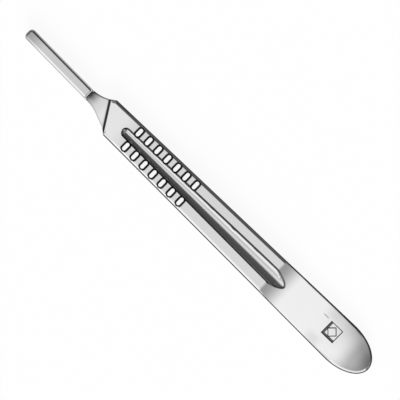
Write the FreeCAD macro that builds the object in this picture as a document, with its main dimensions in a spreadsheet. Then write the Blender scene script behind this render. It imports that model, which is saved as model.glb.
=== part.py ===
import FreeCAD, Part
import math
import os
import Sketcher

from FreeCAD import Placement, Rotation, Vector

# Forged scalpel handle, one piece of stainless steel, lying on its back.
# X runs along the handle from the tip of the blade fitting to the rounded rear end, Y across it
# and Z up through its thickness. The handle is drawn about its middle plane and then lifted, so
# that the origin is under the middle of its length, at the surface that it lies on.

# Driving sizes, in millimetres and degrees
SIZES = {
    "overall_length": 135.0,
    # Outline seen from above
    "rear_width": 12.6,
    "rear_round_length": 11.0,
    "edge_taper": 0.88,
    "shoulder_start": 29.5,
    "shoulder_side": 3.56,
    "shoulder_angle": 58.3,
    "upper_corner_length": 1.95,
    "lower_corner_length": 1.5,
    "lower_corner_width": 1.22,
    # Thickness and edges
    "grip_thickness": 3.8,
    "grip_rounding": 1.05,
    "shoulder_slope": 0.5,
    "grip_end": 97.3,
    "ramp_straight": 0.3,
    "ramp_angle": 17.0,
    "tail_thickness": 1.6,
    "tail_end_thickness": 0.95,
    "tail_dome_length": 10.5,
    "tail_bevel": 0.25,
    # Central groove
    "groove_start": 38.3,
    "groove_front_width": 2.8,
    "groove_rear_width": 4.85,
    "groove_depth": 1.1,
    "groove_runout": 2.4,
    "groove_lift_radius": 16.0,
    "groove_lift_angle": 16.0,
    # Grip ribs
    "rib_count": 7,
    "rib_pitch": 3.61,
    "rib_start": 42.3,
    "rib_length": 3.4,
    "rib_width": 2.0,
    "rib_height": 0.42,
    "rib_bevel": 0.38,
    "rib_side": 2.75,
    "rib_row_angle": 1.0,
    # Blade fitting
    "seat_thickness": 1.5,
    "lug_length": 24.85,
    "lug_width": 3.4,
    "lug_nose": 1.2,
    "lug_height": 0.95,
    "lug_offset": 1.09,
    "lug_tilt": 1.26,
    "lug_rounding": 0.4,
    "lug_corner": 0.8,
    "slot_height": 0.45,
    "slot_depth": 0.45,
    "slot_length": 17.5,
    "flare_start": 25.7,
    "flare_lead": 1.5,
    "flare_radius": 10.7,
    "flare_angle": 19.5,
    "scoop_angle": 20.0,
    "scoop_radius": 3.0,
    "scoop_exit_radius": 24.0,
    # Recessed square near the rear end
    "mark_place": 120.3,
    "mark_side": 0.44,
    "mark_width": 4.5,
    "mark_depth": 0.3,
    "mark_wall_angle": 40.0,
    "mark_border": 0.45,
}

# How far a cutting profile reaches past the solid that it cuts
MARGIN = 1.0

document = FreeCAD.newDocument("ScalpelHandle")
sheet = document.addObject("Spreadsheet::Sheet", "sizes")
for row, (alias, value) in enumerate(SIZES.items(), start=1):
    sheet.set(f"A{row}", alias)
    sheet.set(f"B{row}", str(value))
    sheet.setAlias(f"B{row}", alias)
document.recompute()

# Places that several features share, as expressions on the sheet
TIP = "(-sizes.overall_length / 2)"
REAR = "(sizes.overall_length / 2)"
TOP = "(sizes.grip_thickness / 2)"
TAIL_TOP = "(sizes.tail_thickness / 2)"
SEAT = "(sizes.seat_thickness / 2)"
ROUND_CENTRE = f"({REAR} - sizes.rear_round_length)"
EDGE_SLOPE = "tan(sizes.edge_taper * 1 deg)"
GRIP_END = f"({TIP} + sizes.grip_end)"

# Closeness, in millimetres, at which an edge counts as lying on a level
NEAR = 1e-4

# Points of a sketch: its origin, and the numbers of a line's or arc's own points
ORIGIN_POINT = (-1, 1)
START, END, CENTRE = range(1, 4)

# Half width of the grip at a place along it, from the straight tapering edges
HALF_REAR = "(sizes.rear_width / 2)"


def half_width(place):
    """Half the width between the straight edges, at a place along the handle."""
    return f"({HALF_REAR} - {EDGE_SLOPE} * ({ROUND_CENTRE} - {place}))"


body = document.addObject("PartDesign::Body", "Handle")
body.Label = "scalpel_handle"


def value(expression):
    """Present value of an expression on the sheet."""
    result = body.evalExpression(str(expression))
    return float(getattr(result, "Value", result))


def origin_plane(role):
    """One of the body's own origin planes."""
    for feature in body.Origin.OriginFeatures:
        if feature.Role == role:
            return feature
    raise RuntimeError(f"no {role}")


def new_sketch(name, role, offsets=None):
    """Sketch on an origin plane, moved along its own directions by expressions."""
    sketch = body.newObject("Sketcher::SketchObject", name)
    sketch.AttachmentSupport = (origin_plane(role), [""])
    sketch.MapMode = "FlatFace"
    for path, expression in (offsets or {}).items():
        sketch.setExpression(f"AttachmentOffset.{path}", expression)
    return sketch


def bind(sketch, constraint, expression):
    """Tie a constraint to an expression on the sheet."""
    sketch.setExpression(f"Constraints[{constraint}]", str(expression))


def pin(sketch, geometry, which, point):
    """Hold a point of the sketch at a place given by two expressions."""
    for kind, expression in zip(("DistanceX", "DistanceY"), point):
        size = value(expression)
        rule = Sketcher.Constraint(kind, *ORIGIN_POINT, geometry, which, size)
        bind(sketch, sketch.addConstraint(rule), expression)


def join(sketch, first, first_end, second, second_end):
    """Make two end points one."""
    sketch.addConstraint(Sketcher.Constraint("Coincident", first, first_end, second, second_end))


def vector(point):
    """Sketch point from two expressions."""
    return Vector(value(point[0]), value(point[1]), 0)


def short_arc(start, end, radius):
    """Arc that turns anticlockwise from start to end by less than half a turn."""
    chord = end - start
    middle = (start + end) / 2
    to_centre = math.sqrt(max(radius ** 2 - chord.Length ** 2 / 4, 0))
    left = Vector(-chord.y, chord.x, 0).normalize()
    centre = middle + left * to_centre
    first = math.atan2(start.y - centre.y, start.x - centre.x)
    last = math.atan2(end.y - centre.y, end.x - centre.x)
    if last < first:
        last += 2 * math.pi
    return Part.ArcOfCircle(Part.Circle(centre, Vector(0, 0, 1), radius), first, last)


def outline(sketch, points, radii=None):
    """Closed outline through pinned points.

    radii maps a curved side's number to its turn, 1 for anticlockwise on the way to the next
    point or -1 for clockwise, and the expression of its radius.
    """
    radii = radii or {}
    sides = []
    for number, point in enumerate(points):
        start = vector(point)
        end = vector(points[(number + 1) % len(points)])
        bend = radii.get(number)
        if bend is None:
            geometry = sketch.addGeometry(Part.LineSegment(start, end), False)
            sides.append((geometry, START, END))
            continue
        turn, radius = bend
        if turn > 0:
            geometry = sketch.addGeometry(short_arc(start, end, value(radius)), False)
            sides.append((geometry, START, END))
        else:
            geometry = sketch.addGeometry(short_arc(end, start, value(radius)), False)
            sides.append((geometry, END, START))
    for number, (geometry, first, last) in enumerate(sides):
        following = sides[(number + 1) % len(sides)]
        join(sketch, geometry, last, following[0], following[1])
    for number, point in enumerate(points):
        pin(sketch, sides[number][0], sides[number][1], point)
        if number in radii:
            geometry = sides[number][0]
            rule = Sketcher.Constraint("Radius", geometry, value(radii[number][1]))
            bind(sketch, sketch.addConstraint(rule), radii[number][1])


def pad(name, sketch, length, symmetric=False):
    """Solid from a sketch, upward, or both ways from its plane."""
    feature = body.newObject("PartDesign::Pad", name)
    feature.Profile = sketch
    feature.SideType = "Symmetric" if symmetric else "One side"
    feature.setExpression("Length", length)
    return finish(feature, sketch, grows=True)


def pocket(name, sketch, length=None, upward=False):
    """Cut from a sketch: right through both ways, or to a depth."""
    feature = body.newObject("PartDesign::Pocket", name)
    feature.Profile = sketch
    if length is None:
        feature.Type = "ThroughAll"
        feature.SideType = "Symmetric"
    else:
        feature.setExpression("Length", length)
        feature.Reversed = upward
    return finish(feature, sketch, grows=False)


def finish(feature, sketch, grows):
    """Recompute, and make sure that the feature added or removed what it should."""
    before = feature.BaseFeature.Shape.Volume if feature.BaseFeature else 0.0
    if sketch is not None:
        sketch.Visibility = False
    document.recompute()
    change = feature.Shape.Volume - before
    if (change > 0) != grows:
        raise RuntimeError(f"{feature.Name} changed the volume by {change:.4f}")
    return feature


def level_edges(feature, level, keep):
    """Names of the edges that lie at a level and that keep says yes to."""
    names = []
    for number, edge in enumerate(feature.Shape.Edges, start=1):
        box = edge.BoundBox
        if abs(box.ZMin - level) < NEAR and abs(box.ZMax - level) < NEAR and keep(box):
            names.append(f"Edge{number}")
    return names


def fillet(name, base, edges, radius):
    """Round the named edges."""
    feature = body.newObject("PartDesign::Fillet", name)
    feature.Base = (base, edges)
    feature.setExpression("Radius", radius)
    return finish(feature, None, grows=False)


def bevel(name, base, edges, size, second=None):
    """Bevel the named edges, evenly or by one size on each side."""
    feature = body.newObject("PartDesign::Chamfer", name)
    feature.Base = (base, edges)
    feature.setExpression("Size", size)
    if second is not None:
        feature.ChamferType = "Two distances"
        feature.setExpression("Size2", second)
    return finish(feature, None, grows=False)


# Grip and tail: half of the thickness, above the middle plane

upper_front_x = f"({TIP} + sizes.shoulder_start)"
upper_corner_x = f"({upper_front_x} + sizes.upper_corner_length)"
shoulder_slope = "tan(sizes.shoulder_angle * 1 deg)"
# The lower end of the slanted shoulder is where its line meets the lower corner's
lower_front_x = (
    f"(({upper_front_x} + (sizes.shoulder_side - sizes.lower_corner_width"
    f" + {half_width('(-sizes.lower_corner_length)')}) / {shoulder_slope})"
    f" / (1 - {EDGE_SLOPE} / {shoulder_slope}))"
)
lower_corner_x = f"({lower_front_x} + sizes.lower_corner_length)"
lower_front_y = f"(sizes.lower_corner_width - {half_width(lower_corner_x)})"
# The rounded end is half an ellipse that the straight edges run into without a corner
flat_reach = f"(sizes.rear_round_length ^ 2 * {EDGE_SLOPE} / {HALF_REAR})"
round_half_width = f"sqrt({HALF_REAR} ^ 2 - (sizes.rear_round_length * {EDGE_SLOPE}) ^ 2)"
edge_end_x = f"({ROUND_CENTRE} - {flat_reach})"
edge_end_y = f"({round_half_width} ^ 2 / {HALF_REAR})"

plan = new_sketch("HandlePlan", "XY_Plane")
corners = [
    (edge_end_x, f"-{edge_end_y}"),
    (edge_end_x, edge_end_y),
    (upper_corner_x, half_width(upper_corner_x)),
    (upper_front_x, "sizes.shoulder_side"),
    (lower_front_x, lower_front_y),
    (lower_corner_x, f"-{half_width(lower_corner_x)}"),
]
ellipse = Part.Ellipse(
    vector((ROUND_CENTRE, 0)), value("sizes.rear_round_length"), value(round_half_width)
)
rear_arc = plan.addGeometry(
    Part.ArcOfEllipse(
        ellipse,
        ellipse.parameter(vector(corners[0])) - 2 * math.pi,
        ellipse.parameter(vector(corners[1])),
    ),
    False,
)
edges = []
for corner, following in zip(corners[1:], corners[2:] + corners[:1]):
    edges.append(plan.addGeometry(Part.LineSegment(vector(corner), vector(following)), False))
join(plan, rear_arc, END, edges[0], START)
for edge, following in zip(edges, edges[1:]):
    join(plan, edge, END, following, START)
join(plan, edges[-1], END, rear_arc, START)
for edge, corner in zip(edges, corners[1:]):
    pin(plan, edge, START, corner)
pin(plan, edges[-1], END, corners[0])
plan.exposeInternalGeometry(rear_arc)
long_axis = edges[-1] + 1
pin(plan, long_axis, START, (REAR, "0"))
centre_rule = Sketcher.Constraint("DistanceX", *ORIGIN_POINT, rear_arc, CENTRE, value(ROUND_CENTRE))
bind(plan, plan.addConstraint(centre_rule), ROUND_CENTRE)
pad("HalfBlank", plan, TOP)

# The tail is thinner than the grip: a short ramp drops to it, hollow at its foot, and its top
# falls away in a low dome at the rear end
ramp_foot_x = f"({GRIP_END} + sizes.ramp_straight)"
ramp_foot_z = f"({TOP} - sizes.ramp_straight * tan(sizes.ramp_angle * 1 deg))"
hollow_drop = f"({ramp_foot_z} - {TAIL_TOP})"
hollow_radius = f"({hollow_drop} / (1 - cos(sizes.ramp_angle * 1 deg)))"
tail_start_x = f"({ramp_foot_x} + {hollow_drop} / tan(sizes.ramp_angle / 2 * 1 deg))"
dome_drop = "((sizes.tail_thickness - sizes.tail_end_thickness) / 2)"
dome_radius = f"((sizes.tail_dome_length ^ 2 + {dome_drop} ^ 2) / (2 * {dome_drop}))"
tail_end_z = "(sizes.tail_end_thickness / 2)"

side = new_sketch("TailProfile", "XZ_Plane")
outline(
    side,
    [
        (GRIP_END, TOP),
        (ramp_foot_x, ramp_foot_z),
        (tail_start_x, TAIL_TOP),
        (f"({REAR} - sizes.tail_dome_length)", TAIL_TOP),
        (REAR, tail_end_z),
        (f"({REAR} + {MARGIN})", tail_end_z),
        (f"({REAR} + {MARGIN})", f"({TOP} + {MARGIN})"),
        (GRIP_END, f"({TOP} + {MARGIN})"),
    ],
    {1: (1, hollow_radius), 3: (-1, dome_radius)},
)
thinned = pocket("TailThinning", side)

# The front of the grip is a slanted shoulder that leans back a little
shoulder = level_edges(
    thinned, value(TOP), lambda box: abs(box.XMin - value(upper_front_x)) < NEAR
    and abs(box.XMax - value(lower_front_x)) < NEAR
)
lean = bevel("ShoulderLean", thinned, shoulder, "sizes.shoulder_slope", f"{TOP} - {SEAT}")

# Rounded edges along the grip and its upper front corner, and a fine bevel round the tail
grip_edges = level_edges(
    lean, value(TOP), lambda box: box.YLength < value("sizes.rear_width") / 2
    and box.XMax < value(GRIP_END) + NEAR
)
grip_round = fillet("GripRounding", lean, grip_edges, "sizes.grip_rounding")
tail_edges = level_edges(
    grip_round, value(TAIL_TOP), lambda box: box.XLength > NEAR and box.YLength > NEAR
)
bevel("TailBevel", grip_round, tail_edges, "sizes.tail_bevel")

# Central groove: a long slender cone lying along the handle, with a ball nose at the front.
# Its lowest line stays level and then lifts where the groove runs out on the ramp.


def round_bottom(width):
    """Radius of a round-bottomed groove of a width and the groove's depth."""
    return f"(((({width}) / 2) ^ 2 + sizes.groove_depth ^ 2) / (2 * sizes.groove_depth))"


groove_floor = f"({TOP} - sizes.groove_depth)"
front_radius = round_bottom("sizes.groove_front_width")
rear_radius = round_bottom("sizes.groove_rear_width")
nose_centre_x = f"({TIP} + sizes.groove_start + sizes.groove_front_width / 2)"
cone_rise = f"(({rear_radius} - {front_radius}) / ({GRIP_END} - {nose_centre_x}))"


def cone_axis(place):
    """Height of the cone's axis at a place along the handle."""
    return f"({groove_floor} + {front_radius} + {cone_rise} * ({place} - {nose_centre_x}))"


nose_x = f"({nose_centre_x} - {front_radius})"
lift_x = f"({GRIP_END} + sizes.groove_runout)"
lift_angle = "sizes.groove_lift_angle * 1 deg"
lift_end_x = f"({lift_x} + sizes.groove_lift_radius * sin({lift_angle}))"
lift_end_z = f"({groove_floor} + sizes.groove_lift_radius * (1 - cos({lift_angle})))"

groove_side = new_sketch("GrooveProfile", "XZ_Plane")
outline(
    groove_side,
    [
        (nose_x, cone_axis(nose_x)),
        (nose_centre_x, groove_floor),
        (lift_x, groove_floor),
        (lift_end_x, lift_end_z),
        (lift_end_x, cone_axis(lift_end_x)),
    ],
    {0: (1, front_radius), 2: (1, "sizes.groove_lift_radius")},
)
cone_line = groove_side.addGeometry(
    Part.LineSegment(vector((nose_x, cone_axis(nose_x))),
                     vector((lift_end_x, cone_axis(lift_end_x)))), True
)
join(groove_side, cone_line, START, 0, START)
join(groove_side, cone_line, END, 4, START)
groove = body.newObject("PartDesign::Groove", "CentralGroove")
groove.Profile = groove_side
groove.ReferenceAxis = (groove_side, ["Axis0"])
groove.Angle = 360
finish(groove, groove_side, grows=False)

# Ribs: two rows of short rounded bars across the grip, spreading with the groove. Each is rooted
# at the level of the groove's floor, because its inner end overhangs the groove's edge.
rib_plan = new_sketch("RibPlan", "XY_Plane", {"Base.z": groove_floor})
rib_x = f"({TIP} + sizes.rib_start)"
rib_reach = "((sizes.rib_length - sizes.rib_width) / 2)"
rib_half = "(sizes.rib_width / 2)"
ends = []
for turn, y in ((1, f"(sizes.rib_side + {rib_reach})"), (-1, f"(sizes.rib_side - {rib_reach})")):
    circle = Part.Circle(vector((rib_x, y)), Vector(0, 0, 1), value(rib_half))
    start = 0 if turn > 0 else math.pi
    ends.append(rib_plan.addGeometry(Part.ArcOfCircle(circle, start, start + math.pi), False))
    pin(rib_plan, ends[-1], CENTRE, (rib_x, y))
    bind(rib_plan, rib_plan.addConstraint(
        Sketcher.Constraint("Radius", ends[-1], value(rib_half))), rib_half)
for first, last in (ends, ends[::-1]):
    start = rib_plan.Geometry[first].EndPoint
    end = rib_plan.Geometry[last].StartPoint
    flank = rib_plan.addGeometry(Part.LineSegment(start, end), False)
    rib_plan.addConstraint(Sketcher.Constraint("Tangent", first, END, flank, START))
    rib_plan.addConstraint(Sketcher.Constraint("Tangent", flank, END, last, START))
row_end = (f"({rib_x} + sizes.rib_pitch)",
           "(sizes.rib_side + sizes.rib_pitch * tan(sizes.rib_row_angle * 1 deg))")
row_line = rib_plan.addGeometry(
    Part.LineSegment(vector((rib_x, "sizes.rib_side")), vector(row_end)), True
)
pin(rib_plan, row_line, START, (rib_x, "sizes.rib_side"))
pin(rib_plan, row_line, END, row_end)
first_rib = pad("FirstRib", rib_plan, "sizes.groove_depth + sizes.rib_height")

rib_rows = body.newObject("PartDesign::MultiTransform", "RibRows")
rib_rows.Originals = [first_rib]
row = body.newObject("PartDesign::LinearPattern", "RibRow")
row.Direction = (rib_plan, ["Axis0"])
row.Mode = "Spacing"
row.setExpression("Offset", "sizes.rib_pitch")
row.setExpression("Occurrences", "sizes.rib_count")
opposite = body.newObject("PartDesign::Mirrored", "OppositeRow")
opposite.MirrorPlane = (origin_plane("XZ_Plane"), [""])
rib_rows.Transformations = [row, opposite]
body.Tip = rib_rows
finish(rib_rows, None, grows=True)

crest = value(TOP) + value("sizes.rib_height")
crest_edges = level_edges(rib_rows, crest, lambda box: True)
bevel("RibBevels", rib_rows, crest_edges, "sizes.rib_bevel")

# The back of the handle is the same as the front
both = body.newObject("PartDesign::Mirrored", "BothFaces")
both.MirrorPlane = (origin_plane("XY_Plane"), [""])
both.TransformMode = "Whole shape"
body.Tip = both
finish(both, None, grows=True)

# Blade fitting, drawn along its own line, which is turned a little from the handle's
LUG_FRAME = {
    "Base.x": TIP,
    "Base.y": "sizes.lug_offset",
    "Rotation.Angle": "-sizes.lug_tilt * 1 deg",
}


def on_lug(x, y):
    """A place in the handle's plan as the blade fitting's own drawing has it."""
    along = f"({x} - {TIP})"
    across = f"({y} - sizes.lug_offset)"
    tilt = "sizes.lug_tilt * 1 deg"
    return (
        f"({along} * cos({tilt}) - {across} * sin({tilt}))",
        f"({along} * sin({tilt}) + {across} * cos({tilt}))",
    )


# Seat plate: the thin tongue under the lug, flaring through the neck into the shoulder
lug_half = "(sizes.lug_width / 2)"
upper_flare_x = "(sizes.flare_start - sizes.flare_lead)"
upper_end = on_lug(upper_front_x, "sizes.shoulder_side")
upper_run = f"({upper_end[0]} - {upper_flare_x})"
upper_rise = f"({upper_end[1]} - {lug_half})"
upper_radius = f"(({upper_run} ^ 2 + {upper_rise} ^ 2) / (2 * {upper_rise}))"
flare_turn = "sizes.flare_angle * 1 deg"
lower_flare_end = (
    f"(sizes.flare_start + sizes.flare_radius * sin({flare_turn}))",
    f"(-{lug_half} - sizes.flare_radius * (1 - cos({flare_turn})))",
)
lower_end = on_lug(lower_front_x, lower_front_y)

seat_plan = new_sketch("SeatPlan", "XY_Plane", LUG_FRAME)
outline(
    seat_plan,
    [
        ("sizes.lug_nose", lug_half),
        ("0", f"({lug_half} - sizes.lug_nose)"),
        ("0", f"(sizes.lug_nose - {lug_half})"),
        ("sizes.lug_nose", f"-{lug_half}"),
        ("sizes.flare_start", f"-{lug_half}"),
        lower_flare_end,
        lower_end,
        (f"({lower_end[0]} + {MARGIN})", lower_end[1]),
        (f"({upper_end[0]} + {MARGIN})", upper_end[1]),
        upper_end,
        (upper_flare_x, lug_half),
    ],
    {
        0: (1, "sizes.lug_nose"),
        2: (1, "sizes.lug_nose"),
        4: (-1, "sizes.flare_radius"),
        9: (-1, upper_radius),
    },
)
pad("SeatPlate", seat_plan, "sizes.seat_thickness", symmetric=True)

# Hollow in the seat on the lug's side: steep at the lug's rear end, then rising slowly to the neck
lug_rear_x = f"({TIP} + sizes.lug_length)"
scoop_turn = "sizes.scoop_angle * 1 deg"
scoop_depth = f"(sizes.scoop_radius * (1 - cos({scoop_turn})))"
scoop_floor_x = f"({lug_rear_x} + sizes.scoop_radius * sin({scoop_turn}))"
scoop_exit = f"sqrt(2 * sizes.scoop_exit_radius * {scoop_depth} - {scoop_depth} ^ 2)"
scoop_side = new_sketch("ScoopProfile", "XZ_Plane")
outline(
    scoop_side,
    [
        (lug_rear_x, SEAT),
        (scoop_floor_x, f"({SEAT} - {scoop_depth})"),
        (f"({scoop_floor_x} + {scoop_exit})", SEAT),
    ],
    {0: (1, "sizes.scoop_radius"), 1: (1, "sizes.scoop_exit_radius")},
)
pocket("SeatScoop", scoop_side)

# Lug: a long bar on the seat, with a slot along both sides for the blade to slide in
lug_plan = new_sketch("LugPlan", "XY_Plane", LUG_FRAME)
outline(
    lug_plan,
    [
        ("sizes.lug_nose", lug_half),
        ("0", f"({lug_half} - sizes.lug_nose)"),
        ("0", f"(sizes.lug_nose - {lug_half})"),
        ("sizes.lug_nose", f"-{lug_half}"),
        ("(sizes.lug_length - sizes.lug_corner)", f"-{lug_half}"),
        ("sizes.lug_length", f"(sizes.lug_corner - {lug_half})"),
        ("sizes.lug_length", f"({lug_half} - sizes.lug_corner)"),
        ("(sizes.lug_length - sizes.lug_corner)", lug_half),
    ],
    {
        0: (1, "sizes.lug_nose"),
        2: (1, "sizes.lug_nose"),
        4: (1, "sizes.lug_corner"),
        6: (1, "sizes.lug_corner"),
    },
)
lug = pad("Lug", lug_plan, f"{SEAT} + sizes.lug_height")
lug_top = level_edges(
    lug, value(f"{SEAT} + sizes.lug_height"), lambda box: box.XMax < value(upper_front_x)
)
fillet("LugRounding", lug, lug_top, "sizes.lug_rounding")

slot_plan = new_sketch("SlotPlan", "XY_Plane", dict(LUG_FRAME, **{"Base.z": SEAT}))
slot_half = f"({lug_half} - sizes.slot_depth)"
outline(
    slot_plan,
    [
        (f"-{MARGIN}", f"({lug_half} + {MARGIN})"),
        (f"-{MARGIN}", f"(-{lug_half} - {MARGIN})"),
        ("sizes.slot_length", f"(-{lug_half} - {MARGIN})"),
        ("sizes.slot_length", f"-{slot_half}"),
        (f"(sizes.slot_depth + {slot_half})", f"-{slot_half}"),
        (f"(sizes.slot_depth + {slot_half})", slot_half),
        ("sizes.slot_length", slot_half),
        ("sizes.slot_length", f"({lug_half} + {MARGIN})"),
    ],
)
pocket("BladeSlot", slot_plan, "sizes.slot_height", upward=True)

# Recessed square near the rear end with sloping walls, round a plain raised lozenge
MARK_PLACE = {"Base.x": f"({TIP} + sizes.mark_place)", "Base.y": "sizes.mark_side"}
mark_half = "(sizes.mark_width / 2)"
square_plan = new_sketch("MarkSquarePlan", "XY_Plane", dict(MARK_PLACE, **{"Base.z": TAIL_TOP}))
square = (("-", "-"), ("", "-"), ("", ""), ("-", ""))
outline(square_plan, [(f"{left}{mark_half}", f"{lower}{mark_half}") for left, lower in square])
recess = pocket("MarkSquare", square_plan, "sizes.mark_depth")
recess.setExpression("TaperAngle", "-sizes.mark_wall_angle")
finish(recess, None, grows=False)

lozenge = f"({mark_half} - sizes.mark_border)"
lozenge_plan = new_sketch("LozengePlan", "XY_Plane", dict(
    MARK_PLACE, **{"Base.z": f"({TAIL_TOP} - sizes.mark_depth)"}))
outline(lozenge_plan, [(lozenge, "0"), ("0", lozenge), (f"-{lozenge}", "0"), ("0", f"-{lozenge}")])
raised = pad("Lozenge", lozenge_plan, "sizes.mark_depth")
raised.setExpression("TaperAngle", "-sizes.mark_wall_angle")
finish(raised, None, grows=True)

# Lift the handle so that the ribs of its back lie on the surface
body.setExpression("Placement.Base.z", f"{TOP} + sizes.rib_height")
document.recompute()

for thing in document.Objects:
    if "Invalid" in thing.State or "Error" in thing.State:
        raise RuntimeError(f"{thing.Name} failed: {thing.State}")
for sketch in document.findObjects("Sketcher::SketchObject"):
    if not sketch.FullyConstrained:
        raise RuntimeError(f"{sketch.Name} is not fully constrained")
if body.Shape.isNull() or not body.Shape.isValid() or len(body.Shape.Solids) != 1:
    raise RuntimeError("the handle is not one valid solid")

os.makedirs("parts", exist_ok=True)
body.Shape.exportStep(f"parts/{body.Label}.step")
box = body.Shape.optimalBoundingBox(True, False)
print(f"{body.Label}: {box.XLength:.2f} x {box.YLength:.2f} x {box.ZLength:.2f} mm,"
      f" {body.Shape.Volume:.0f} mm3, {len(body.Shape.Faces)} faces")
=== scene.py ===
import math

import bpy
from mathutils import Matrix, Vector


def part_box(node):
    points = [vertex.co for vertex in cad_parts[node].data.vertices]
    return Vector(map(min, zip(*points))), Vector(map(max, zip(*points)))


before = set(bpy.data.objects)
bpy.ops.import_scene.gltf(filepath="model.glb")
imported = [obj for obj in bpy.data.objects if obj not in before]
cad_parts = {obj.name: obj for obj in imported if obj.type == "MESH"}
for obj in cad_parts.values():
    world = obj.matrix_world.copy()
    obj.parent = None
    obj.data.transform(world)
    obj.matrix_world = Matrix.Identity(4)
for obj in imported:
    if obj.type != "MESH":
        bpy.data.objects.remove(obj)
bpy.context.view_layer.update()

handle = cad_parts["scalpel_handle"]
low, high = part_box("scalpel_handle")
scene = bpy.context.scene

# Sizes and places on the handle are in millimetres: x runs along it from its tip to its rear end,
# y runs across it, and heights count both ways from its middle plane. A pair of numbers is where a
# smooth change begins and where it is complete, or its first and last value, or the two ends of a
# place whose softness stands beside it.
MM_PER_METRE = 1000.0
MIDDLE = (low.z + high.z) / 2 * MM_PER_METRE
SEAT_TOP = 0.75
TAIL_TOP = 0.8
GRIP_TOP = 1.9
CREST_TOP = (high.z - low.z) / 2 * MM_PER_METRE
GRIP_END = 29.8
# Across the middle line, from the -Y side to the +Y side
SIDES = (-1.0, 1.0)

# Groove: a ball nose, a cone whose axis rises, and a floor that lifts at the rear
GROOVE_NOSE = -27.8
GROOVE_FLOOR = 0.8
GROOVE_AXIS = 2.2409
GROOVE_RISE = 0.030939
GROOVE_SPAN = (-29.4, 35.5)
GROOVE_SOFT = 0.1
LIFT_START = 32.2
LIFT_RADIUS = 16.0
# A point belongs to the groove within some slack, because the mesh's facets lie off the true surface
GROOVE_NEAR = (0.04, 0.09)
GROOVE_SLACK = (0.11, 0.07)
SLACK_SPAN = (24.0, 30.0)
SLACK_END = (31.0, 34.0)
# It reaches this high on its -Y and on its +Y side
GROOVE_LIMITS = (GRIP_TOP - 0.004, GRIP_TOP + 0.02)
LIMIT_SIDES = (-0.1, 0.1)
LIMIT_EDGE = (0.0, 0.003)
# The groove's wheel leaned a little, so that its surface is turned as if set off by this much
WHEEL_LEAN = 0.25

# Ramp: a hollow arc from the grip down to the tail
RAMP_END = 36.8466
RAMP_RADIUS = 23.0754
RAMP_SPAN = (30.0, RAMP_END)
RAMP_SOFT = 0.05
RAMP_NEAR = (0.02, 0.05)

# Slanted shoulder: it faces the tip and the -Y side. High on its bevel it is as light as the top
SHOULDER_X = -0.851
SHOULDER_Y = -0.525
SHOULDER_FACING = (0.15, 0.30)
SHOULDER_SPAN = (-39.0, -32.4)
SHOULDER_SOFT = 0.2
SHOULDER_FOOT = (SEAT_TOP, SEAT_TOP + 0.1)
SHOULDER_BEVEL = (1.66, 1.78)

# Lug: a bar turned a little from the handle's line, with round corners at its tip. Its edges are
# rolled over before their rounding begins.
TIP = -67.5
LUG_END = -42.65
LUG_SIDE = 1.09
LUG_TURN = math.radians(1.26)
LUG_HALF = 1.7
LUG_CORNER = 1.2
LUG_REAR = (LUG_END + 0.15, LUG_END + 0.05)
LUG_HEIGHT = (SEAT_TOP + 0.3, SEAT_TOP + 0.5)
LUG_ROLL = 0.58
LUG_ROLL_REACH = (0.28, 0.72)
LEAST_REACH = 0.1
LUG_END_ROLL = 0.78
LUG_END_ROLL_SPAN = (-43.50, -43.22)

# Neck, and the seat at its front
NECK_SPAN = (LUG_END + 0.3, -34.0)
NECK_SOFT = 0.2
NECK_HEIGHT = (0.90, 0.80)
SEAT_SPAN = (LUG_END, -38.0)
SEAT_SOFT = 0.05
SEAT_HEIGHT = (0.85, 0.80)

# Ribs: two rows that spread a little, each rib a straight stretch with two round ends
RIB_START = -25.2
RIB_PITCH = 3.61
RIB_SIDE = 2.75
RIB_SPREAD = math.tan(math.radians(1.0))
RIB_STRAIGHT = 0.7
RIB_RADIUS = 1.0
RIB_ROWS = (-27.0, -1.75)
RIB_ROWS_SOFT = 0.05
RIB_HEIGHT = (GRIP_TOP - 0.01, GRIP_TOP + 0.03)
RIBBED_START = (-30.0, -28.0)
CREST_HEIGHT = (CREST_TOP - 0.12, CREST_TOP - 0.03)

# Rear end: sides with a slight taper, and a half ellipse behind them
ROUND_CENTRE = 56.5
ROUND_LENGTH = 11.0
REAR_HALF = 6.3
EDGE_TAPER = math.tan(math.radians(0.88))
TAIL_HEIGHT = (TAIL_TOP + 0.03, TAIL_TOP + 0.01)
TAIL_START = (RAMP_END - 0.5, RAMP_END)
# Hand polishing: the rear end falls away to its tip and to both sides, and its rim is rolled
FIRST_FALL = 0.055
FIRST_FALL_SPAN = (44.0, 56.0)
LAST_FALL = 0.38
LAST_FALL_SPAN = (57.3, 68.5)
LAST_FALL_SIDES = (-5.0, 1.0)
LAST_FALL_SHARES = (0.75, 1.0)
FIRST_CROWN = 0.0180
FIRST_CROWN_SPAN = (46.0, 60.0)
LAST_CROWN = 0.0200
LAST_CROWN_SPAN = (60.0, 67.0)
RIM_ROLL = 0.10
RIM_ROLL_BAND = (0.90, 0.30)
END_ROLL = 0.22
END_ROLL_BAND = (0.75, 0.30)
END_ROLL_SPAN = (57.0, 62.0)
ROLL_START = (RAMP_END, RAMP_END + 2.0)
ROLL_UPRIGHT = (0.90, 0.97)
# A narrow level border is left along the -Y side of the rear end
BORDER_BAND = (0.95, 0.70)
BORDER_SPAN = (56.5, 60.0)
BORDER_SIDE = (0.05, -0.12)

# Polish: how much light the bare metal returns in each zone, and where one zone gives way to the next
LUG_TONE = 0.60
NECK_TONE = 0.68
FRONT_TONE = 0.79
GRIP_TONE = 0.69
TAIL_TONE = 0.89
ZONE_CHANGES = (
    ((-43.0, -42.4), LUG_TONE, NECK_TONE),
    ((-39.0, -36.0), NECK_TONE, FRONT_TONE),
    ((-31.0, -26.0), FRONT_TONE, GRIP_TONE),
    ((GRIP_END, RAMP_END), GRIP_TONE, TAIL_TONE),
)
LUG_TIP_SHARE = 0.60
LUG_TIP_SPAN = (-60.0, TIP)
# Painted highlight on the rib crests
CREST_HIGHLIGHT_GAIN = 0.27
BRIGHTEST = 0.97
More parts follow.
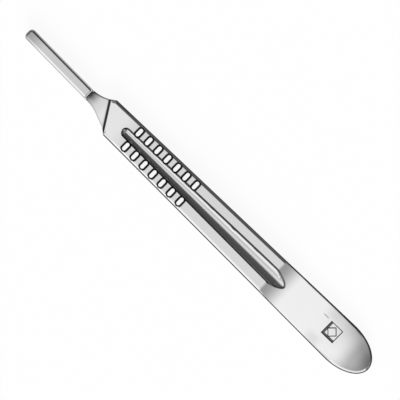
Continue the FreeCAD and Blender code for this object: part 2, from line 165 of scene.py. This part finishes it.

# Painted shade on steep flanks: the share of the tone that is left there, by the upward part of their
# direction. It reaches gentler slopes by a shift of those limits, and upright walls are darkened less.
FLANK_SHADE_SHARE = 0.16
FLANK_UPRIGHT = (0.60, 0.35)
SLOPE_SHIFT = 0.30
SIDE_SHIFT = 0.22
SIDE_FACING = (0.2, 0.6)
LUG_SHIFT = 0.12
FRONT_CORNER_SHIFT = 0.38
FRONT_CORNER_FACING = (-0.01, -0.05)
FRONT_CORNER_SPAN = (-38.7, -28.0)
FRONT_CORNER_SOFT = 0.3
FRONT_CORNER_SIDE = (1.0, 2.0)
WALL_UPRIGHT = (0.12, 0.30)
WALL_SHADE_PART = 0.65
RIB_SHADE_SHARE = 0.25
SHOULDER_SHADE_SHARE = 0.09

# Painted highlight on the rolled edges, on the -Y side and at the lug's rear end
EDGE_HIGHLIGHT_GAIN = 0.28
HIGHLIGHT_START = (-31.0, -27.0)
HIGHLIGHT_LEAN = (-0.02, -0.12)
LUG_END_HIGHLIGHT_GAIN = 0.50
LUG_END_LEAN = (0.35, 0.55)
LUG_END_SPAN = (-43.6, -43.5)

# Painted shade on the edges of the lug's rear end and of the neck, paler on the neck's -Y side
EDGE_SHADE_SHARE = 0.22
LUG_EDGE_SPAN = (-42.99, -42.91)
NECK_EDGE_UPRIGHT = (0.995, 0.95)
NECK_EDGE_FACING = (-0.1, 0.2)
NECK_EDGE_AMOUNTS = (0.30, 1.0)

# Painted shade, a dark contour: how far from the rim it begins and is complete, on the -Y and on the +Y side
RIM_SHADE_SHARE = 0.11
RIM_BEGINS = (0.36, 0.56)
RIM_COMPLETE = (0.24, 0.38)
RIM_START = (-36.5, -36.1)
RIM_TOP = (GRIP_TOP - 0.08, GRIP_TOP - 0.03)
# It is narrower on the grip's +Y side
RIM_NARROWER = 0.08
NARROWER_START = (-31.0, -27.0)
NARROWER_END = (26.0, 34.0)

# Painted shade: a dark line round each rib, between two distances from its outline
RIB_FOOT_SHADE_SHARE = 0.13
RIB_FOOT_BAND = (-0.46, 0.20)
RIB_FOOT_SOFT = 0.07
RIB_FOOT_HEIGHT = (GRIP_TOP - 0.04, GRIP_TOP - 0.02)

# Painted shade: a dark lip of the groove, paler on its -Y side, and a darker steep -Y wall
LIP_SHADE_SHARE = 0.18
LIP_BAND = (0.40, 0.20)
LIP_SIDES = (-1.2, 0.0)
LIP_AMOUNTS = (0.4, 1.0)
LEAST_STEEPNESS = 0.05
GROOVE_WALL_SHADE_SHARE = 0.50
GROOVE_WALL_FACING = (0.46, 0.60)

# Painted shade at the foot of the lug, on the seat
FOOT_SHADE_SHARE = 0.16
FOOT_SPAN = (LUG_END, -39.0)
FOOT_SIDES = (-0.9, 0.6)
FOOT_AMOUNTS = (0.55, 1.0)

# Marks on the tail: a soft smudge, painted shade in the recess on its walls and on its floor along two walls,
# and a faint tick
SMUDGE_SHARE = 0.86
SMUDGE_SPAN = (48.0, 52.0)
SMUDGE_SOFT = 1.6
SMUDGE_SIDES = (2.0, 4.5)
TOP_FACE = (0.0, 0.1)
RECESS_SPAN = (50.5, 55.1)
RECESS_WIDTH = (-1.85, 2.72)
RECESS_SOFT = 0.02
RECESS_HEIGHT = (TAIL_TOP - 0.03, TAIL_TOP - 0.08)
RECESS_FRONT = (51.50, 51.25)
RECESS_SIDE = (-0.90, -1.15)
RECESS_SHADE_SHARE = 0.14
TICK_SHARE = 0.45
TICK_SPAN = (47.6, 49.4)
TICK_SPAN_SOFT = 0.25
TICK_WIDTH = (2.46, 2.74)
TICK_WIDTH_SOFT = 0.06

# Grain: fine grinding lines along the handle, a soft tumbled mottle and slow drifts of tone, each by
# its cells to the metre. The relief's depth is in metres.
LINE_CELLS = (260.0, 9000.0, 9000.0)
MOTTLE_CELLS = (1800.0, 1800.0, 1800.0)
DRIFT_CELLS = (60.0, 60.0, 60.0)
GRAIN_DETAIL = 3.0
DRIFT_DETAIL = 2.0
GRAIN_ROUGHNESS = 0.55
MOTTLE_REACH = 0.04
DRIFT_REACH = 0.05
LINES_RELIEF = 0.6
MOTTLE_RELIEF = 0.4
RELIEF_STRENGTH = 0.25
RELIEF_DEPTH = 0.000004
ROUGHNESS = 0.15
MOTTLE_ROUGHNESS = 0.08
FLANK_ROUGHNESS = 0.05
GROOVE_ROUGHNESS = 0.04
# Radius in metres over which edges are softened, for their direction and for the neck's dark edge
CRISP_RADIUS = 0.0001
CRISP_SAMPLES = 6
WORN_RADIUS = 0.0010
WORN_SAMPLES = 8

# Floor: its width in metres, and how much of it is plain white to the camera and in reflections
FLOOR_SIZE = 8.0
FLOOR_TONE = 0.93
FLOOR_SHARE = 0.92

# Room, by angles in degrees from straight up: what each stretch towards -Y adds to the light of the
# box overhead, and the one stretch towards +Y
BOX_NEAR_CHANGES = (
    ((0, 7), 0.10),
    ((8, 22), -0.35),
    ((30, 52), 0.55),
    ((62, 85), -0.60),
)
BOX_FAR_SPAN = (0, 10)
BOX_FAR_CHANGE = -0.30
# Straight across, the +Y side is dark down to a paler low wall
SHADE_LEAN = (9, 16)
SHADE_FORWARD = (14, 26)
SHADE_BACKWARD = (22, 34)
SHADE_LEVELS = (0.10, 0.50)
LOW_WALL_LEAN = (70, 82)
# Both ends of the room are dimmer, with a low pale wall beyond the handle's rear end
FORWARD_SHARES = (
    ((3, 33), 0.46),
    ((33, 62), 0.34),
)
BACKWARD_SPAN = (20, 60)
BACKWARD_SHARE = 0.25
REAR_WALL_SPAN = (66, 78)
REAR_WALL_GAIN = 0.90

# Lamp: its power, its width in degrees and the way to it
LAMP_ENERGY = 3.0
LAMP_ANGLE = 36.0
LAMP_TOWARD = Vector((0.60, -0.62, 0.506))

# Camera: the photo's width in metres at the handle, the lens and its sensor in millimetres, the turn
# in degrees, and in metres the point that it looks down on and the depths that it sees
PHOTO_ACROSS = 0.1124
LENS = 200.0
SENSOR = 36.0
TURN = 44.3
AIM_X = 0.0002
AIM_Y = 0.00108
NEAREST = 0.01
FARTHEST = 20.0


def grey(level):
    return (level, level, level, 1.0)


class Nodes:
    """Adds nodes to a tree: numbers and colours are set on a socket, and sockets are linked to it."""

    def __init__(self, tree):
        self.tree = tree
        tree.nodes.clear()

    def add(self, kind, inputs=None, **settings):
        node = self.tree.nodes.new(kind)
        for name, setting in settings.items():
            setattr(node, name, setting)
        for name, given in (inputs or {}).items():
            self.give(node.inputs[name], given)
        return node

    def give(self, socket, given):
        if isinstance(given, bpy.types.NodeSocket):
            self.tree.links.new(given, socket)
        else:
            socket.default_value = given

    def operate(self, kind, operation, given):
        node = self.add(kind, operation=operation)
        for socket, item in zip(node.inputs, given):
            self.give(socket, item)
        return node.outputs[0]

    def math(self, operation, *given):
        return self.operate("ShaderNodeMath", operation, given)

    def chain(self, operation, first, others):
        for other in others:
            first = self.math(operation, first, other)
        return first

    def total(self, first, *others):
        return self.chain("ADD", first, others)

    def less(self, first, *others):
        return self.chain("SUBTRACT", first, others)

    def product(self, first, *others):
        return self.chain("MULTIPLY", first, others)

    def larger(self, first, *others):
        return self.chain("MAXIMUM", first, others)

    def smaller(self, first, *others):
        return self.chain("MINIMUM", first, others)

    def over(self, first, second):
        return self.math("DIVIDE", first, second)

    def past(self, first, second):
        """How far the first value is past the second, and none before it."""
        return self.larger(self.less(first, second), 0.0)

    def outside(self, mask):
        """What a mask leaves out."""
        return self.less(1.0, mask)

    def size(self, given):
        return self.math("ABSOLUTE", given)

    def length(self, *parts):
        squares = [self.product(part, part) for part in parts]
        return self.math("SQRT", self.total(*squares))

    def ramp(self, factor, span, first=0.0, last=1.0):
        """Smooth change from first to last while the factor goes through the span."""
        start, end = span
        node = self.add("ShaderNodeMapRange", {
            "Value": factor, "From Min": start, "From Max": end,
            "To Min": first, "To Max": last}, interpolation_type="SMOOTHSTEP")
        return node.outputs["Result"]

    def fade(self, factor, span):
        """One before the span and none after it."""
        return self.ramp(factor, span, 1.0, 0.0)

    def between(self, factor, span, soft):
        """One inside the span and none outside it."""
        start, end = span
        return self.product(self.ramp(factor, (start - soft, start + soft)),
                            self.fade(factor, (end - soft, end + soft)))

    def vector(self, x, y, z):
        return self.add("ShaderNodeCombineXYZ", {"X": x, "Y": y, "Z": z}).outputs["Vector"]

    def parts(self, vector):
        node = self.add("ShaderNodeSeparateXYZ", {"Vector": vector})
        return [node.outputs[axis] for axis in "XYZ"]

    def vector_math(self, operation, *given):
        return self.operate("ShaderNodeVectorMath", operation, given)

    def scaled(self, vector, scale):
        return self.add("ShaderNodeVectorMath", {"Vector": vector, "Scale": scale},
                        operation="SCALE").outputs["Vector"]

    def unit(self, vector):
        return self.vector_math("NORMALIZE", vector)

    def mixed(self, factor, first, second):
        """Direction between two, by the factor."""
        kept = self.scaled(first, self.outside(factor))
        return self.unit(self.vector_math("ADD", kept, self.scaled(second, factor)))


class Steel(Nodes):
    """Satin steel of the handle.

    Each method adds the nodes of one place or one effect and keeps the sockets that later ones need.
    """

    def build(self):
        self.find_place()
        self.find_facing()
        self.find_groove()
        self.find_ramp()
        self.find_shoulder()
        self.find_lug_and_neck()
        self.find_rear_end()
        self.lean_surface()
        self.polish_zones()
        self.find_flanks()
        self.paint_flank_shade()
        self.paint_edge_highlights()
        self.paint_edge_shade()
        self.paint_rim_shade()
        self.paint_rib_foot_shade()
        self.paint_groove_shade()
        self.paint_foot_shade()
        self.mark_tail()
        self.finish_surface()

    def find_place(self):
        """Where a point lies: along, across and above the middle plane, and on which face."""
        self.place = self.add("ShaderNodeTexCoord").outputs["Object"]
        self.along, self.across, up = self.parts(self.scaled(self.place, MM_PER_METRE))
        self.side_up = self.less(up, MIDDLE)
        self.height = self.size(self.side_up)
        self.face = self.math("SIGN", self.side_up)

    def softened(self, radius, samples):
        return self.add("ShaderNodeBevel", {"Radius": radius}, samples=samples).outputs["Normal"]

    def find_facing(self):
        """Direction of the surface as the mesh gives it, with hardly softened edges."""
        self.crisp = self.softened(CRISP_RADIUS, CRISP_SAMPLES)
        self.facing_x, self.facing_y, facing_z = self.parts(self.crisp)
        self.upright = self.size(facing_z)

    def find_groove(self):
        """The groove's own round surface."""
        before_nose = self.past(GROOVE_NOSE, self.along)
        past_nose = self.past(self.along, GROOVE_NOSE)
        past_lift = self.past(self.along, LIFT_START)
        axis = self.total(GROOVE_AXIS, self.product(past_nose, GROOVE_RISE))
        lifted = self.over(self.product(past_lift, past_lift), 2 * LIFT_RADIUS)
        radius = self.less(axis, GROOVE_FLOOR, lifted)
        drop = self.less(axis, self.height)
        off_surface = self.size(self.less(self.length(before_nose, self.across, drop), radius))
        slack = self.product(
            self.ramp(self.along, SLACK_SPAN, *GROOVE_SLACK), self.fade(self.along, SLACK_END))
        limit = self.ramp(self.across, LIMIT_SIDES, *GROOVE_LIMITS)
        self.in_groove = self.product(
            self.fade(self.less(off_surface, slack), GROOVE_NEAR),
            self.between(self.along, GROOVE_SPAN, GROOVE_SOFT),
            self.fade(self.less(self.height, limit), LIMIT_EDGE))
        self.off_groove = self.outside(self.in_groove)
        way_x = self.less(before_nose, self.over(self.product(radius, past_lift), LIFT_RADIUS))
        self.groove_slope = self.over(self.length(way_x, self.across), drop)
        self.groove_way = self.unit(
            self.vector(way_x, self.less(WHEEL_LEAN, self.across), self.product(drop, self.face)))

    def find_ramp(self):
        """The ramp's own hollow surface, from the grip down to the tail."""
        back = self.smaller(self.past(RAMP_END, self.along), RAMP_END - GRIP_END)
        way_up = self.math("SQRT", self.less(RAMP_RADIUS ** 2, self.product(back, back)))
        self.ramp_height = self.less(TAIL_TOP + RAMP_RADIUS, way_up)
        self.on_ramp = self.product(
            self.fade(self.size(self.less(self.height, self.ramp_height)), RAMP_NEAR),
            self.between(self.along, RAMP_SPAN, RAMP_SOFT),
            self.off_groove)
        self.ramp_slope = self.over(back, RAMP_RADIUS)
        self.ramp_way = self.unit(self.vector(back, 0.0, self.product(way_up, self.face)))

    def find_shoulder(self):
        """The slanted shoulder, and the upper part of its bevel."""
        facing_front = self.total(
            self.product(self.facing_x, SHOULDER_X), self.product(self.facing_y, SHOULDER_Y))
        self.on_shoulder = self.product(
            self.between(self.along, SHOULDER_SPAN, SHOULDER_SOFT),
            self.ramp(self.height, SHOULDER_FOOT),
            self.ramp(facing_front, SHOULDER_FACING))
        self.shoulder_bevel = self.ramp(self.height, SHOULDER_BEVEL)

    def find_lug_and_neck(self):
        """The lug above its side slots, and the neck behind it."""
        self.on_lug = self.product(self.ramp(self.along, LUG_REAR), self.ramp(self.height, LUG_HEIGHT))
        self.on_neck = self.product(self.between(self.along, NECK_SPAN, NECK_SOFT),
                                    self.ramp(self.height, NECK_HEIGHT))

    def find_rear_end(self):
        """Distance from the handle's outline, in millimetres."""
        half_width = self.less(REAR_HALF, self.product(self.past(ROUND_CENTRE, self.along), EDGE_TAPER))
        self.out_x = self.over(self.past(self.along, ROUND_CENTRE), ROUND_LENGTH)
        self.out_y = self.over(self.across, half_width)
        outward = self.length(self.out_x, self.out_y)
        slope = self.length(self.over(self.out_x, ROUND_LENGTH), self.over(self.out_y, half_width))
        self.to_rim = self.over(self.less(1.0, outward), self.over(slope, outward))

    def rear_tilt(self):
        """Lean of the hand-polished rear end, along and across the handle."""
        end_roll = self.product(
            self.ramp(self.to_rim, END_ROLL_BAND), self.ramp(self.along, END_ROLL_SPAN), END_ROLL)
        roll = self.total(self.ramp(self.to_rim, RIM_ROLL_BAND, 0.0, RIM_ROLL), end_roll)
        roll = self.product(roll, self.ramp(self.along, ROLL_START), self.ramp(self.upright, ROLL_UPRIGHT))
        last_fall = self.product(
            self.ramp(self.along, LAST_FALL_SPAN, 0.0, LAST_FALL),
            self.ramp(self.across, LAST_FALL_SIDES, *LAST_FALL_SHARES))
        fall = self.total(self.ramp(self.along, FIRST_FALL_SPAN, 0.0, FIRST_FALL), last_fall)
        crown = self.product(self.across, self.total(
            self.ramp(self.along, FIRST_CROWN_SPAN, 0.0, FIRST_CROWN),
            self.ramp(self.along, LAST_CROWN_SPAN, 0.0, LAST_CROWN)))
        off_border = self.outside(self.product(
            self.ramp(self.to_rim, BORDER_BAND),
            self.ramp(self.along, BORDER_SPAN),
            self.ramp(self.out_y, BORDER_SIDE)))
        return (self.product(self.total(fall, self.product(self.out_x, roll)), off_border),
                self.product(self.total(crown, self.product(self.out_y, roll)), off_border))

    def lug_tilt(self):
        """Lean of the lug's rolled edges, by the distance from its rounded outline."""
        lug_x = self.less(self.along, TIP)
        lug_y = self.total(self.less(self.across, LUG_SIDE), self.product(lug_x, math.sin(LUG_TURN)))
        corner_x = self.past(LUG_CORNER, lug_x)
        corner_y = self.past(self.size(lug_y), LUG_HALF - LUG_CORNER)
        reach = self.length(corner_x, corner_y)
        roll = self.product(self.on_lug, self.ramp(reach, LUG_ROLL_REACH, 0.0, LUG_ROLL))
        roll = self.over(roll, self.larger(reach, LEAST_REACH))
        end_roll = self.product(self.on_lug, self.ramp(self.along, LUG_END_ROLL_SPAN, 0.0, LUG_END_ROLL))
        return (self.less(end_roll, self.product(roll, corner_x)),
                self.product(roll, corner_y, self.math("SIGN", lug_y)))

    def lean_surface(self):
        """Direction of the surface, true where a wheel cut it and level high on the bevel, with the leans."""
        shaped = self.mixed(self.in_groove, self.crisp, self.groove_way)
        shaped = self.mixed(self.on_ramp, shaped, self.ramp_way)
        level = self.vector(0.0, 0.0, self.face)
        shaped = self.mixed(self.product(self.on_shoulder, self.shoulder_bevel), shaped, level)
        rear_x, rear_y = self.rear_tilt()
        lug_x, lug_y = self.lug_tilt()
        tilt = self.vector(self.total(rear_x, lug_x), self.total(rear_y, lug_y), 0.0)
        self.leaning = self.unit(self.vector_math("ADD", shaped, tilt))
        self.leaning_x, self.leaning_y, _ = self.parts(self.leaning)

    def grain(self, cells, detail=GRAIN_DETAIL):
        moved = self.add("ShaderNodeMapping", {"Vector": self.place, "Scale": cells}).outputs["Vector"]
        return self.add("ShaderNodeTexNoise", {
            "Vector": moved, "Scale": 1.0, "Detail": detail, "Roughness": GRAIN_ROUGHNESS}).outputs["Fac"]

    def around_zero(self, factor, reach):
        """A grain's swing about its middle."""
        return self.product(self.less(factor, 0.5), reach)

    def polish_zones(self):
        """Tone of each zone along the handle. Rib crests get a painted highlight above the strips between."""
        changes = [self.ramp(self.along, span, 0.0, after - before) for span, before, after in ZONE_CHANGES]
        zone = self.product(self.total(LUG_TONE, *changes),
                            self.ramp(self.along, LUG_TIP_SPAN, 1.0, LUG_TIP_SHARE))
        crest_highlight = self.product(self.ramp(self.height, CREST_HEIGHT), CREST_HIGHLIGHT_GAIN)
        drift = self.around_zero(self.grain(DRIFT_CELLS, DRIFT_DETAIL), DRIFT_REACH)
        self.mottle = self.grain(MOTTLE_CELLS)
        self.tone = self.total(zone, crest_highlight, drift, self.around_zero(self.mottle, MOTTLE_REACH))

    def darken(self, share, *masks):
        """Only the share of the tone is left where every mask is full."""
        self.tone = self.product(self.tone, self.outside(self.product(*masks, 1.0 - share)))

    def brighten(self, gain, *masks):
        """The tone grows by the gain where every mask is full."""
        self.tone = self.product(self.tone, self.total(1.0, self.product(*masks, gain)))

    def find_flanks(self):
        """Steep flanks. Gentler slopes count too on the ribs, tail, neck, lug, sides and front corner."""
        self.on_rib = self.product(self.ramp(self.height, RIB_HEIGHT), self.ramp(self.along, RIBBED_START))
        on_tail = self.product(self.ramp(self.height, TAIL_HEIGHT), self.ramp(self.along, TAIL_START))
        self.on_rib_or_tail = self.larger(self.on_rib, on_tail)
        front_corner = self.product(
            self.ramp(self.product(self.facing_x, self.facing_y), FRONT_CORNER_FACING),
            self.between(self.along, FRONT_CORNER_SPAN, FRONT_CORNER_SOFT),
            self.ramp(self.across, FRONT_CORNER_SIDE))
        shift = self.larger(
            self.product(self.larger(self.on_rib_or_tail, self.on_neck), SLOPE_SHIFT),
            self.ramp(self.size(self.facing_y), SIDE_FACING, 0.0, SIDE_SHIFT),
            self.product(self.on_lug, LUG_SHIFT),
            self.product(front_corner, FRONT_CORNER_SHIFT))
        self.flank = self.product(self.ramp(self.less(self.upright, shift), FLANK_UPRIGHT), self.off_groove)
        self.not_wall = self.ramp(self.upright, WALL_UPRIGHT)

    def paint_flank_shade(self):
        """Painted shade: steep flanks are darkened, and the shoulder below its light upper part is darkest.
        """
        self.darken(FLANK_SHADE_SHARE, self.flank, self.ramp(self.upright, WALL_UPRIGHT, WALL_SHADE_PART, 1.0))
        self.darken(RIB_SHADE_SHARE, self.flank, self.not_wall, self.on_rib_or_tail)
        self.darken(SHOULDER_SHADE_SHARE, self.on_shoulder, self.outside(self.shoulder_bevel))

    def paint_edge_highlights(self):
        """Painted highlight on the rolled edges on the -Y side of the grip and the lug, and at the lug's rear
        end.
        """
        off_flank = self.outside(self.flank)
        self.brighten(
            EDGE_HIGHLIGHT_GAIN, self.off_groove, off_flank, self.outside(self.on_rib),
            self.ramp(self.along, (RAMP_END, GRIP_END)),
            self.larger(self.on_lug, self.ramp(self.along, HIGHLIGHT_START)),
            self.ramp(self.leaning_y, HIGHLIGHT_LEAN))
        self.brighten(
            LUG_END_HIGHLIGHT_GAIN, self.on_lug, off_flank,
            self.ramp(self.leaning_x, LUG_END_LEAN),
            self.ramp(self.along, LUG_END_SPAN))

    def paint_edge_shade(self):
        """Painted shade on the edges of the lug's rear end and of the neck."""
        self.darken(EDGE_SHADE_SHARE, self.on_lug, self.ramp(self.along, LUG_EDGE_SPAN))
        _, worn_y, worn_z = self.parts(self.softened(WORN_RADIUS, WORN_SAMPLES))
        self.darken(
            EDGE_SHADE_SHARE, self.on_neck,
            self.ramp(self.size(worn_z), NECK_EDGE_UPRIGHT),
            self.ramp(worn_y, NECK_EDGE_FACING, *NECK_EDGE_AMOUNTS))

    def paint_rim_shade(self):
        """Painted shade: a dark line along the rim of the grip and the tail."""
        narrower = self.product(
            self.ramp(self.along, NARROWER_START), self.fade(self.along, NARROWER_END),
            self.ramp(self.across, SIDES), RIM_NARROWER)
        begins = self.less(self.ramp(self.across, SIDES, *RIM_BEGINS), narrower)
        complete = self.less(self.ramp(self.across, SIDES, *RIM_COMPLETE), narrower)
        self.darken(
            RIM_SHADE_SHARE, self.ramp(self.to_rim, (begins, complete)),
            self.ramp(self.along, RIM_START), self.not_wall, self.fade(self.height, RIM_TOP))

    def paint_rib_foot_shade(self):
        """Painted shade: a dark line round the foot of each rib, by the distance from its outline."""
        rib_x = self.math("FLOORED_MODULO", self.less(self.along, RIB_START - RIB_PITCH / 2), RIB_PITCH)
        rib_x = self.less(rib_x, RIB_PITCH / 2)
        rib_side = self.total(RIB_SIDE, self.product(self.less(self.along, RIB_START), RIB_SPREAD))
        rib_y = self.past(self.size(self.less(self.size(self.across), rib_side)), RIB_STRAIGHT)
        from_rib = self.less(self.length(rib_x, rib_y), RIB_RADIUS)
        self.darken(
            RIB_FOOT_SHADE_SHARE, self.between(from_rib, RIB_FOOT_BAND, RIB_FOOT_SOFT),
            self.between(self.along, RIB_ROWS, RIB_ROWS_SOFT),
            self.ramp(self.height, RIB_FOOT_HEIGHT))

    def paint_groove_shade(self):
        """Painted shade: the groove's lip is a dark line, and its steep -Y wall is darkened."""
        edge_height = self.smaller(self.ramp_height, GRIP_TOP)
        steepness = self.total(self.groove_slope, self.ramp_slope, LEAST_STEEPNESS)
        from_edge = self.over(self.less(edge_height, self.height), steepness)
        self.darken(
            LIP_SHADE_SHARE, self.in_groove, self.ramp(from_edge, LIP_BAND),
            self.ramp(self.across, LIP_SIDES, *LIP_AMOUNTS))
        _, groove_y, _ = self.parts(self.groove_way)
        self.darken(GROOVE_WALL_SHADE_SHARE, self.in_groove, self.ramp(groove_y, GROOVE_WALL_FACING))

    def paint_foot_shade(self):
        """Painted shade in the corner behind the lug, on the seat."""
        self.darken(
            FOOT_SHADE_SHARE, self.between(self.along, SEAT_SPAN, SEAT_SOFT),
            self.ramp(self.height, SEAT_HEIGHT), self.fade(self.along, FOOT_SPAN),
            self.ramp(self.across, FOOT_SIDES, *FOOT_AMOUNTS))

    def mark_tail(self):
        """A smudge that is stronger towards the sides, and on the upper face painted shade in the recess and
        the tick.
        """
        self.darken(
            SMUDGE_SHARE, self.between(self.along, SMUDGE_SPAN, SMUDGE_SOFT),
            self.ramp(self.size(self.across), SMUDGE_SIDES))
        on_top = self.ramp(self.side_up, TOP_FACE)
        in_recess = self.product(
            self.between(self.along, RECESS_SPAN, RECESS_SOFT),
            self.between(self.across, RECESS_WIDTH, RECESS_SOFT),
            on_top, self.ramp(self.height, RECESS_HEIGHT))
        shaded_wall_foot = self.larger(self.ramp(self.along, RECESS_FRONT), self.ramp(self.across, RECESS_SIDE))
        self.darken(RECESS_SHADE_SHARE, in_recess, shaded_wall_foot)
        self.darken(RIB_SHADE_SHARE, in_recess, self.flank)
        self.darken(
            TICK_SHARE, self.between(self.along, TICK_SPAN, TICK_SPAN_SOFT),
            self.between(self.across, TICK_WIDTH, TICK_WIDTH_SOFT), on_top)

    def finish_surface(self):
        """Bare metal of this tone, with the grain's relief."""
        level = self.smaller(self.tone, BRIGHTEST)
        base = self.add("ShaderNodeCombineColor", {"Red": level, "Green": level, "Blue": level})
        rough = self.total(
            ROUGHNESS, self.around_zero(self.mottle, MOTTLE_ROUGHNESS),
            self.product(self.flank, FLANK_ROUGHNESS), self.product(self.in_groove, GROOVE_ROUGHNESS))
        relief = self.total(self.product(self.grain(LINE_CELLS), LINES_RELIEF),
                            self.product(self.mottle, MOTTLE_RELIEF))
        bump = self.add("ShaderNodeBump", {
            "Strength": RELIEF_STRENGTH, "Distance": RELIEF_DEPTH, "Height": relief,
            "Normal": self.leaning})
        shader = self.add("ShaderNodeBsdfPrincipled", {
            "Base Color": base.outputs["Color"], "Metallic": 1.0, "Roughness": rough,
            "Normal": bump.outputs["Normal"]})
        self.add("ShaderNodeOutputMaterial", {"Surface": shader.outputs["BSDF"]})


class Room(Nodes):
    """Light of a plain studio room around the table, by direction."""

    def sweep(self, factor, degrees, first=0.0, last=1.0):
        """Smooth change from first to last between two angles in degrees."""
        return self.ramp(factor, [math.radians(angle) for angle in degrees], first, last)

    def build(self):
        x, y, z = self.parts(self.add("ShaderNodeTexCoord").outputs["Generated"])
        lean = self.math("ARCTAN2", y, z)
        near_lean = self.product(lean, -1.0)
        forward = self.math("ARCSINE", self.larger(self.smaller(x, 1.0), -1.0))
        backward = self.product(forward, -1.0)
        near_changes = [self.sweep(near_lean, span, 0.0, change) for span, change in BOX_NEAR_CHANGES]
        box_light = self.total(1.0, *near_changes, self.sweep(lean, BOX_FAR_SPAN, 0.0, BOX_FAR_CHANGE))
        shaded = self.product(
            self.sweep(lean, SHADE_LEAN), self.sweep(forward, SHADE_FORWARD, 1.0, 0.0),
            self.sweep(backward, SHADE_BACKWARD, 1.0, 0.0))
        shade = self.sweep(lean, LOW_WALL_LEAN, *SHADE_LEVELS)
        level = self.total(self.product(box_light, self.outside(shaded)), self.product(shade, shaded))
        level = self.product(
            level, *[self.sweep(forward, span, 1.0, share) for span, share in FORWARD_SHARES],
            self.sweep(backward, BACKWARD_SPAN, 1.0, BACKWARD_SHARE))
        level = self.total(level, self.sweep(forward, REAR_WALL_SPAN, 0.0, REAR_WALL_GAIN))
        sky = self.add("ShaderNodeBackground", {"Color": grey(1.0), "Strength": level})
        self.add("ShaderNodeOutputWorld", {"Surface": sky.outputs["Background"]})


def new_material(name):
    material = bpy.data.materials.new(name)
    material.use_nodes = True
    return material


def add_floor():
    """A pale floor that takes a soft shadow and is nearly white to the camera and in the metal."""
    bpy.ops.mesh.primitive_plane_add(size=FLOOR_SIZE, location=(0, 0, 0))
    floor = bpy.context.object
    floor.name = "floor"
    pale_floor = new_material("pale_floor")
    nodes = Nodes(pale_floor.node_tree)
    matte = nodes.add("ShaderNodeBsdfDiffuse", {"Color": grey(FLOOR_TONE)})
    white = nodes.add("ShaderNodeEmission", {"Color": grey(1.0), "Strength": 1.0})
    rays = nodes.add("ShaderNodeLightPath").outputs
    seen = nodes.larger(rays["Is Camera Ray"], rays["Is Glossy Ray"], rays["Is Transmission Ray"])
    both = nodes.add("ShaderNodeMixShader", {"Fac": nodes.product(seen, FLOOR_SHARE)})
    nodes.give(both.inputs[1], matte.outputs["BSDF"])
    nodes.give(both.inputs[2], white.outputs["Emission"])
    nodes.add("ShaderNodeOutputMaterial", {"Surface": both.outputs["Shader"]})
    floor.data.materials.append(pale_floor)


def add_room():
    """The room around the table is only light."""
    world = bpy.data.worlds.new("studio")
    scene.world = world
    world.use_nodes = True
    Room(world.node_tree).build()


def add_lamp():
    """One wide soft lamp lights the table, and the metal doesn't mirror it."""
    lamp_data = bpy.data.lights.new("softbox", "SUN")
    lamp_data.energy = LAMP_ENERGY
    lamp_data.angle = math.radians(LAMP_ANGLE)
    lamp = bpy.data.objects.new("softbox", lamp_data)
    scene.collection.objects.link(lamp)
    lamp.rotation_euler = LAMP_TOWARD.to_track_quat("Z", "Y").to_euler()
    lamp.visible_glossy = False


def add_camera():
    """A camera straight above the handle, turned as in the photo."""
    camera_data = bpy.data.cameras.new("camera")
    camera_data.lens = LENS
    camera_data.sensor_width = SENSOR
    camera_data.clip_start = NEAREST
    camera_data.clip_end = FARTHEST
    camera = bpy.data.objects.new("camera", camera_data)
    scene.collection.objects.link(camera)
    camera.location = (AIM_X, AIM_Y, high.z + PHOTO_ACROSS * LENS / SENSOR)
    camera.rotation_euler = (0.0, 0.0, math.radians(TURN))
    scene.camera = camera


steel = new_material("satin_steel")
Steel(steel.node_tree).build()
handle.data.materials.clear()
handle.data.materials.append(steel)

add_floor()
add_room()
add_lamp()
add_camera()
scene.view_settings.view_transform = "Standard"
